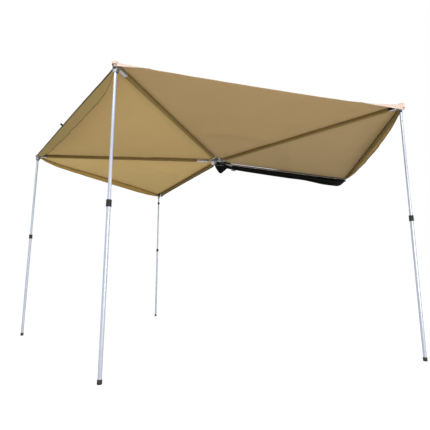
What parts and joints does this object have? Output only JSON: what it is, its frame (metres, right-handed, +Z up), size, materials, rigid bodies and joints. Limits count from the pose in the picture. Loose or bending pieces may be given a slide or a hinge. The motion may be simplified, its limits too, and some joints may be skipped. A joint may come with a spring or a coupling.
{
  "type": "vehicle side awning",
  "caption": "Wrap-round vehicle awning: arms on one hub pin fan out a canopy panel by panel, telescopic legs fold down from the tips, a rail bolts to the roof rack.",
  "frame": {"origin": "underside of the middle rack bracket's foot, where it rests on the roof rack's cross bar", "axes": "+X along the rail away from the hub pin, +Y towards the vehicle, +Z up; the ground is 2.086 m below the origin"},
  "size_m": [4.3449, 4.2434, 2.1936],
  "materials": {
    "rail_aluminium": "satin anodised",
    "arm_aluminium": "satin, mill finish",
    "leg_aluminium": "bright drawn",
    "knuckle_aluminium": "sand cast, tumbled",
    "hub_steel": "zinc plated",
    "bolt_steel": "zinc plated",
    "bush_nylon": "natural nylon",
    "bracket_steel": "black powder coat",
    "black_nylon": "moulded",
    "shoe_rubber": "moulded",
    "canopy_canvas": "coated woven canvas",
    "sleeve_canvas": "coated woven canvas",
    "bag_fabric": "coated heavy fabric"
  },
  "bodies": {
    "root": {"mounting_rail": "rail_aluminium", "rail_end_cap": "black_nylon", "rack_bracket_hub": "bracket_steel", "rack_bracket_mid": "bracket_steel", "rack_bracket_far": "bracket_steel", "hub_plate_upper": "hub_steel", "hub_plate_lower": "hub_steel", "hub_bush_upper": "bush_nylon", "hub_bush_lower": "bush_nylon", "hub_pin": "bolt_steel", "hub_nut": "bolt_steel", "travel_bag": "bag_fabric"},
    "arm_a": {"arm_a_knuckle": "knuckle_aluminium", "arm_a_tube": "arm_aluminium", "arm_a_sleeve": "sleeve_canvas", "arm_a_tip_bracket": "arm_aluminium", "arm_a_end_cap": "black_nylon", "leg_a_pivot_pin": "bolt_steel", "canopy_panel_a": "canopy_canvas"},
    "leg_a": {"leg_a_head": "black_nylon", "leg_a_upper_tube": "leg_aluminium"},
    "leg_a_lower": {"leg_a_lower_tube": "leg_aluminium", "leg_a_shoe": "shoe_rubber"},
    "leg_a_lock": {"leg_a_lock_collar": "black_nylon"},
    "arm_b": {"arm_b_knuckle": "knuckle_aluminium", "arm_b_tube": "arm_aluminium", "arm_b_sleeve": "sleeve_canvas", "arm_b_tip_bracket": "arm_aluminium", "arm_b_end_cap": "black_nylon", "leg_b_pivot_pin": "bolt_steel", "canopy_panel_b": "canopy_canvas"},
    "leg_b": {"leg_b_head": "black_nylon", "leg_b_upper_tube": "leg_aluminium"},
    "leg_b_lower": {"leg_b_lower_tube": "leg_aluminium", "leg_b_shoe": "shoe_rubber"},
    "leg_b_lock": {"leg_b_lock_collar": "black_nylon"},
    "arm_c": {"arm_c_knuckle": "knuckle_aluminium", "arm_c_tube": "arm_aluminium", "arm_c_sleeve": "sleeve_canvas", "arm_c_tip_bracket": "arm_aluminium", "arm_c_end_cap": "black_nylon", "leg_c_pivot_pin": "bolt_steel", "canopy_panel_c": "canopy_canvas"},
    "leg_c": {"leg_c_head": "black_nylon", "leg_c_upper_tube": "leg_aluminium"},
    "leg_c_lower": {"leg_c_lower_tube": "leg_aluminium", "leg_c_shoe": "shoe_rubber"},
    "leg_c_lock": {"leg_c_lock_collar": "black_nylon"},
    "arm_d": {"arm_d_knuckle": "knuckle_aluminium", "arm_d_tube": "arm_aluminium", "arm_d_sleeve": "sleeve_canvas", "arm_d_tip_bracket": "arm_aluminium", "arm_d_end_cap": "black_nylon", "leg_d_pivot_pin": "bolt_steel", "canopy_panel_d": "canopy_canvas"},
    "leg_d": {"leg_d_head": "black_nylon", "leg_d_upper_tube": "leg_aluminium"},
    "leg_d_lower": {"leg_d_lower_tube": "leg_aluminium", "leg_d_shoe": "shoe_rubber"},
    "leg_d_lock": {"leg_d_lock_collar": "black_nylon"}
  },
  "joints": [
    {"name": "arm_a_swing", "type": "hinge", "parent": "root", "child": "arm_a", "pos_m": [-1.175, -0.1703, 0.036], "axis": [0, 0, 1], "range_deg": [0, 65.75], "deforming": ["canopy_panel_a"]},
    {"name": "leg_a_fold", "type": "hinge", "parent": "arm_a", "child": "leg_a", "pos_m": [-0.21809, -2.14118, -0.002], "axis": [0.9118, 0.4107, 0], "range_deg": [0, 90]},
    {"name": "leg_a_telescope", "type": "slide", "parent": "leg_a", "child": "leg_a_lower", "axis": [0, 0, 1], "range_m": [0, 0.8]},
    {"name": "leg_a_lock_twist", "type": "hinge", "parent": "leg_a_lower", "child": "leg_a_lock", "pos_m": [-0.21809, -2.14118, -0.962], "axis": [0, 0, 1], "range_deg": [0, 90]},
    {"name": "arm_b_swing", "type": "hinge", "parent": "arm_a", "child": "arm_b", "pos_m": [-1.175, -0.1703, 0.036], "axis": [0, 0, 1], "range_deg": [0, 65.75], "deforming": ["canopy_panel_b"]},
    {"name": "leg_b_fold", "type": "hinge", "parent": "arm_b", "child": "leg_b", "pos_m": [-2.61041, -1.82443, -0.002], "axis": [0.749, -0.6626, 0], "range_deg": [0, 90]},
    {"name": "leg_b_telescope", "type": "slide", "parent": "leg_b", "child": "leg_b_lower", "axis": [0, 0, 1], "range_m": [0, 0.8]},
    {"name": "leg_b_lock_twist", "type": "hinge", "parent": "leg_b_lower", "child": "leg_b_lock", "pos_m": [-2.61041, -1.82443, -0.962], "axis": [0, 0, 1], "range_deg": [0, 90]},
    {"name": "arm_c_swing", "type": "hinge", "parent": "arm_b", "child": "arm_c", "pos_m": [-1.175, -0.1703, 0.036], "axis": [0, 0, 1], "range_deg": [0, 65.75], "deforming": ["canopy_panel_c"]},
    {"name": "leg_c_fold", "type": "hinge", "parent": "arm_c", "child": "leg_c", "pos_m": [-3.26027, 0.49918, -0.002], "axis": [-0.2965, -0.955, 0], "range_deg": [0, 90]},
    {"name": "leg_c_telescope", "type": "slide", "parent": "leg_c", "child": "leg_c_lower", "axis": [0, 0, 1], "range_m": [0, 0.8]},
    {"name": "leg_c_lock_twist", "type": "hinge", "parent": "leg_c_lower", "child": "leg_c_lock", "pos_m": [-3.26027, 0.49918, -0.962], "axis": [0, 0, 1], "range_deg": [0, 90]},
    {"name": "arm_d_swing", "type": "hinge", "parent": "arm_c", "child": "arm_d", "pos_m": [-1.175, -0.1703, 0.036], "axis": [0, 0, 1], "range_deg": [0, 65.75], "deforming": ["canopy_panel_d"]},
    {"name": "leg_d_fold", "type": "hinge", "parent": "arm_d", "child": "leg_d", "pos_m": [-1.37936, 2.01105, -0.002], "axis": [-0.9925, -0.1219, 0], "range_deg": [0, 90]},
    {"name": "leg_d_telescope", "type": "slide", "parent": "leg_d", "child": "leg_d_lower", "axis": [0, 0, 1], "range_m": [0, 0.8]},
    {"name": "leg_d_lock_twist", "type": "hinge", "parent": "leg_d_lower", "child": "leg_d_lock", "pos_m": [-1.37936, 2.01105, -0.962], "axis": [0, 0, 1], "range_deg": [0, 90]}
  ]
}
